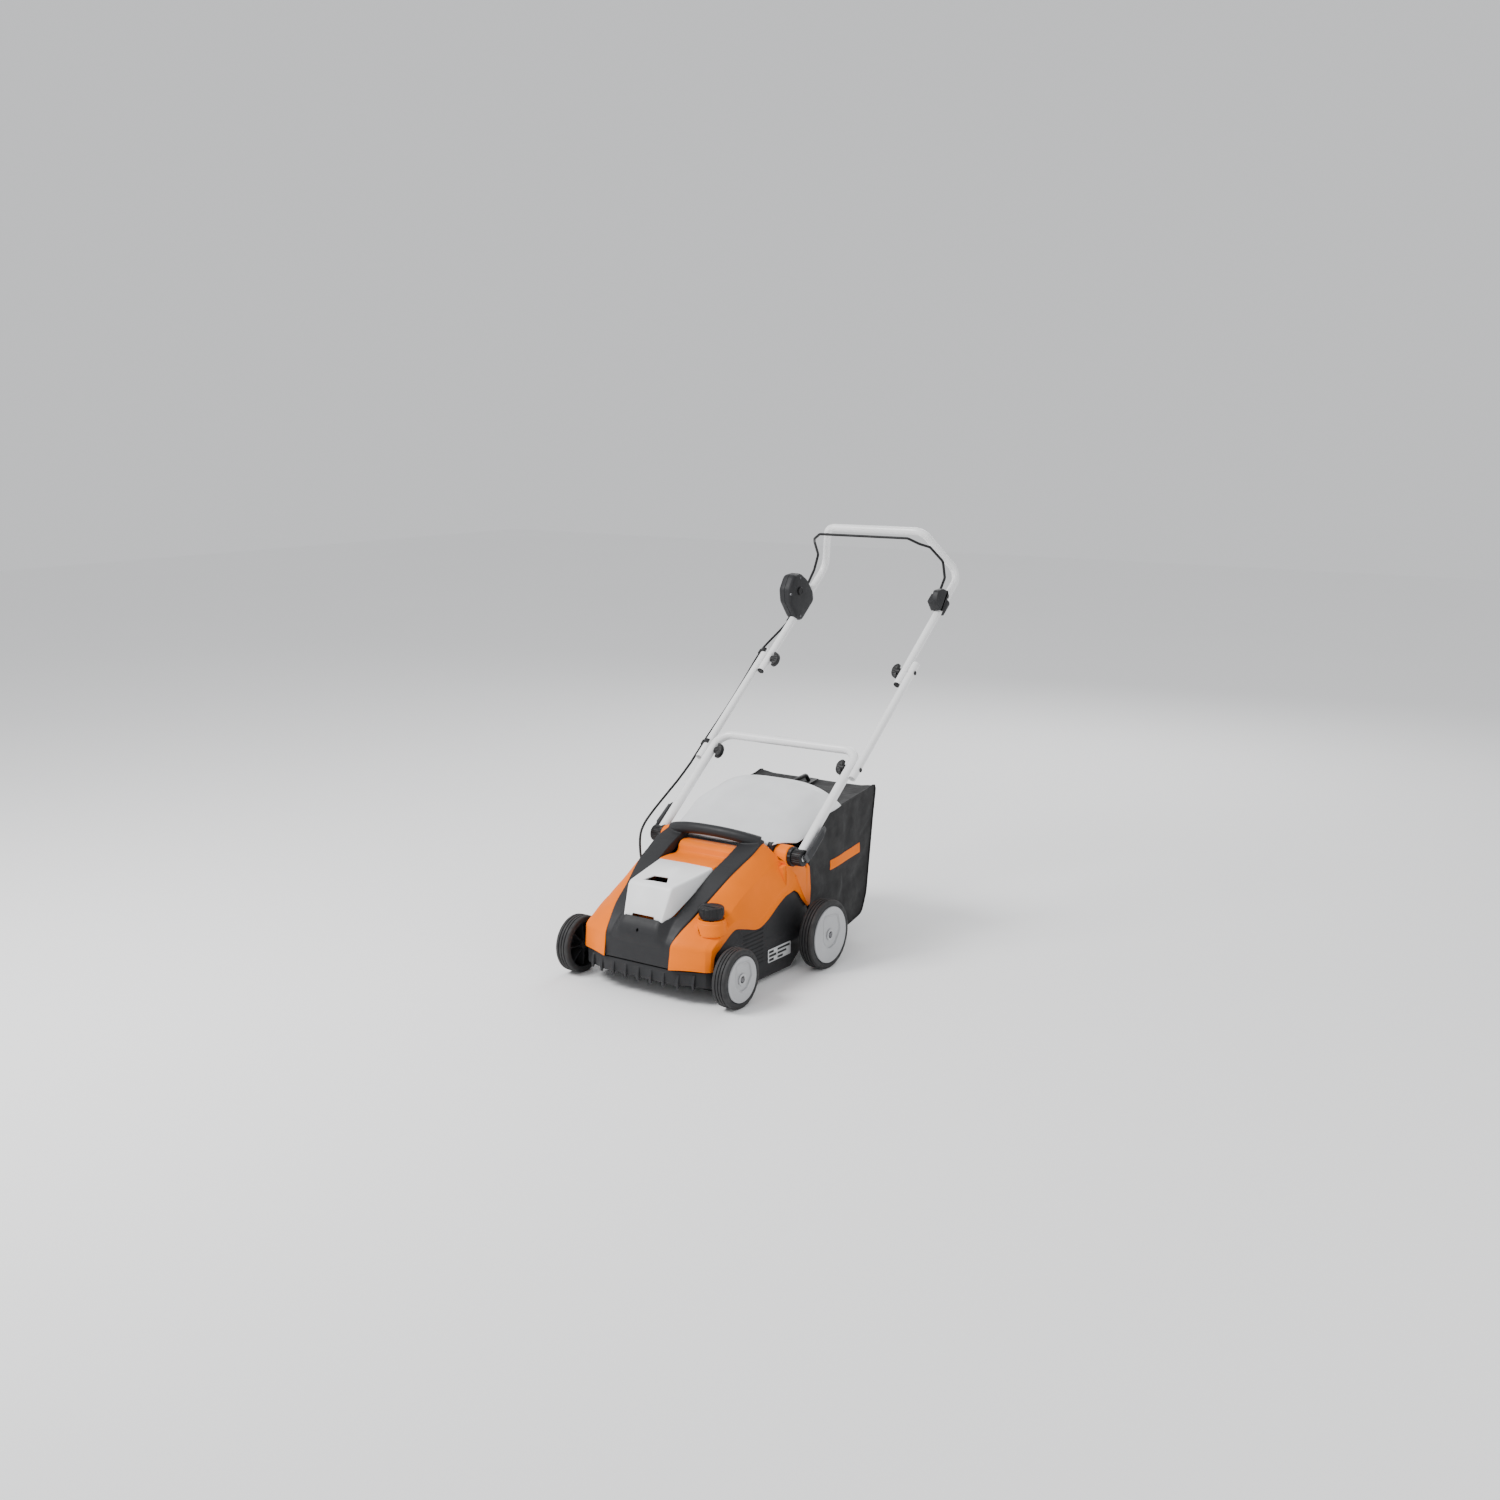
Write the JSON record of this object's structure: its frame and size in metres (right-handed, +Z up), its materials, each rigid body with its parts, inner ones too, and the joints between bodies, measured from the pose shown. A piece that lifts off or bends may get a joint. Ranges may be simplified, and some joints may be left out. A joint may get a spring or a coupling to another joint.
{
  "type": "lawn dethatcher",
  "caption": "Walk-behind cordless lawn dethatcher: tine drum under a moulded housing, four wheels, folding tube handle with a switch bail, and a rear fabric catcher bag.",
  "frame": {"origin": "middle of the bounding box at ground level, under the four wheels", "axes": "+Z up, -Y is the front of the machine, +X is its left-right axis, positive on the side with the depth knob"},
  "size_m": [0.56, 1.226, 1.1126],
  "materials": {
    "orange_plastic": "satin moulded",
    "dark_plastic": "fine grained moulded",
    "black_plastic": "fine grained moulded",
    "grey_plastic": "satin moulded",
    "tyre_rubber": "matte",
    "handle_paint": "satin powder coat",
    "bare_steel": "bright",
    "dark_steel": "dark",
    "bag_fabric": "woven",
    "label_foil": "matt printed foil",
    "cable_rubber": "matte"
  },
  "bodies": {
    "chassis": {"deck_housing": "dark_plastic", "side_panel_left": "orange_plastic", "side_panel_right": "orange_plastic", "centre_cover": "dark_plastic", "battery_tray": "orange_plastic", "belt_cover": "dark_plastic", "motor_housing": "dark_steel", "bearing_left": "bare_steel", "bearing_right": "bare_steel", "drive_belt": "black_plastic", "rear_axle": "dark_steel", "pivot_disc_left": "black_plastic", "pivot_disc_right": "black_plastic", "rating_plate": "label_foil"},
    "front_axle": {"front_axle": "dark_steel"},
    "depth_knob": {"depth_knob": "black_plastic"},
    "drum": {"tine_drum": "dark_steel", "drum_shaft": "bare_steel"},
    "motor_rotor": {"motor_shaft": "bare_steel"},
    "battery_cover": {"battery_cover": "grey_plastic"},
    "battery": {"battery_pack": "black_plastic"},
    "rear_flap": {"rear_flap": "grey_plastic"},
    "catcher": {"catcher_frame": "black_plastic", "catcher_bag": "bag_fabric", "catcher_grip": "black_plastic"},
    "lower_handle": {"lower_handle": "handle_paint", "pivot_bolt_left": "bare_steel", "pivot_bolt_right": "bare_steel", "cable_lower": "cable_rubber"},
    "clamp_lever_left": {"clamp_lever_left": "black_plastic"},
    "clamp_lever_right": {"clamp_lever_right": "black_plastic"},
    "knob_lower_left": {"knob_lower_left": "black_plastic"},
    "knob_lower_right": {"knob_lower_right": "black_plastic"},
    "mid_handle": {"mid_tube_left": "handle_paint", "mid_tube_right": "handle_paint", "cable_clip_lower": "black_plastic", "cable_clip_upper": "black_plastic", "cable_mid": "cable_rubber"},
    "knob_upper_left": {"knob_upper_left": "black_plastic"},
    "knob_upper_right": {"knob_upper_right": "black_plastic"},
    "upper_handle": {"upper_handle": "handle_paint", "switch_housing_outer": "dark_plastic", "switch_housing_inner": "dark_plastic", "bail_bracket": "dark_plastic", "cable_upper": "cable_rubber"},
    "lock_button": {"lock_button": "black_plastic"},
    "switch_bail": {"switch_bail": "black_plastic"},
    "wheel_front_left": {"tyre_front_left": "tyre_rubber", "rim_front_left": "dark_plastic", "wheel_cap_front_left": "grey_plastic"},
    "wheel_front_right": {"tyre_front_right": "tyre_rubber", "rim_front_right": "dark_plastic", "wheel_cap_front_right": "grey_plastic"},
    "wheel_rear_left": {"tyre_rear_left": "tyre_rubber", "rim_rear_left": "dark_plastic", "wheel_cap_rear_left": "grey_plastic"},
    "wheel_rear_right": {"tyre_rear_right": "tyre_rubber", "rim_rear_right": "dark_plastic", "wheel_cap_rear_right": "grey_plastic"}
  },
  "joints": [
    {"name": "handle_fold", "type": "hinge", "parent": "chassis", "child": "lower_handle", "pos_m": [0, -0.21902, 0.30959], "axis": [-1, 0, 0], "range_deg": [-115, 0], "deforming": ["cable_lower"]},
    {"name": "middle_fold", "type": "hinge", "parent": "lower_handle", "child": "mid_handle", "pos_m": [0, 0.02355, 0.50261], "axis": [-1, 0, 0], "range_deg": [0, 75], "deforming": ["cable_mid"]},
    {"name": "top_fold", "type": "hinge", "parent": "mid_handle", "child": "upper_handle", "pos_m": [0, 0.30721, 0.72833], "axis": [-1, 0, 0], "range_deg": [-145, 0], "deforming": ["cable_upper"]},
    {"name": "clamp_lever_left_turn", "type": "hinge", "parent": "lower_handle", "child": "clamp_lever_left", "pos_m": [-0.2478, -0.21902, 0.30959], "axis": [0, -0.6227, 0.7825], "range_deg": [0, 90]},
    {"name": "clamp_lever_right_turn", "type": "hinge", "parent": "lower_handle", "child": "clamp_lever_right", "pos_m": [0.2478, -0.21902, 0.30959], "axis": [0, 0.6227, -0.7825], "range_deg": [0, 90]},
    {"name": "knob_lower_left_turn", "type": "hinge", "parent": "lower_handle", "child": "knob_lower_left", "pos_m": [-0.2, 0.02355, 0.50261], "axis": [-1, 0, 0], "continuous": true},
    {"name": "knob_lower_right_turn", "type": "hinge", "parent": "lower_handle", "child": "knob_lower_right", "pos_m": [0.2, 0.02355, 0.50261], "axis": [1, 0, 0], "continuous": true},
    {"name": "knob_upper_left_turn", "type": "hinge", "parent": "mid_handle", "child": "knob_upper_left", "pos_m": [-0.2, 0.30721, 0.72833], "axis": [-1, 0, 0], "continuous": true},
    {"name": "knob_upper_right_turn", "type": "hinge", "parent": "mid_handle", "child": "knob_upper_right", "pos_m": [0.2, 0.30721, 0.72833], "axis": [1, 0, 0], "continuous": true},
    {"name": "bail_squeeze", "type": "hinge", "parent": "upper_handle", "child": "switch_bail", "pos_m": [0, 0.50905, 0.9311], "axis": [1, 0, 0], "range_deg": [-18, 0], "stiffness_Nm_per_rad": 0.6, "springref_deg": 17.19},
    {"name": "lock_button_press", "type": "slide", "parent": "upper_handle", "child": "lock_button", "axis": [-1, 0, 0], "range_m": [0, 0.0035], "stiffness_N_per_m": 350, "springref_m": -0.003},
    {"name": "front_axle_swing", "type": "hinge", "parent": "chassis", "child": "front_axle", "pos_m": [0, -0.47547, 0.12], "axis": [1, 0, 0], "range_deg": [0, 12]},
    {"name": "depth_knob_turn", "type": "hinge", "parent": "chassis", "child": "depth_knob", "pos_m": [0.163, -0.51247, 0.21], "axis": [0, 0, 1], "range_deg": [0, 240]},
    {"name": "wheel_front_left_spin", "type": "hinge", "parent": "front_axle", "child": "wheel_front_left", "pos_m": [-0.25, -0.53247, 0.0753], "axis": [1, 0, 0], "continuous": true},
    {"name": "wheel_front_right_spin", "type": "hinge", "parent": "front_axle", "child": "wheel_front_right", "pos_m": [0.25, -0.53247, 0.0753], "axis": [1, 0, 0], "continuous": true},
    {"name": "wheel_rear_left_spin", "type": "hinge", "parent": "chassis", "child": "wheel_rear_left", "pos_m": [-0.26, -0.14347, 0.092], "axis": [1, 0, 0], "continuous": true},
    {"name": "wheel_rear_right_spin", "type": "hinge", "parent": "chassis", "child": "wheel_rear_right", "pos_m": [0.26, -0.14347, 0.092], "axis": [1, 0, 0], "continuous": true},
    {"name": "drum_spin", "type": "hinge", "parent": "chassis", "child": "drum", "pos_m": [0, -0.36047, 0.078], "axis": [1, 0, 0], "continuous": true},
    {"name": "motor_spin", "type": "hinge", "parent": "chassis", "child": "motor_rotor", "pos_m": [-0.12, -0.34047, 0.205], "axis": [1, 0, 0], "continuous": true},
    {"name": "battery_cover_lift", "type": "hinge", "parent": "chassis", "child": "battery_cover", "pos_m": [0, -0.40247, 0.2965], "axis": [-1, 0, 0], "range_deg": [0, 95]},
    {"name": "battery_lift_out", "type": "slide", "parent": "chassis", "child": "battery", "axis": [0, 0, 1], "range_m": [0, 0.012]},
    {"name": "rear_flap_lift", "type": "hinge", "parent": "chassis", "child": "rear_flap", "pos_m": [0, -0.24047, 0.335], "axis": [1, 0, 0], "range_deg": [0, 65]},
    {"name": "catcher_pull", "type": "slide", "parent": "chassis", "child": "catcher", "axis": [0, 1, 0], "range_m": [0, 0.15]}
  ],
  "couplings": [
    {"joint": "depth_knob_turn", "follows": "front_axle_swing", "ratio": 20},
    {"joint": "motor_spin", "follows": "drum_spin", "ratio": 2.8}
  ]
}
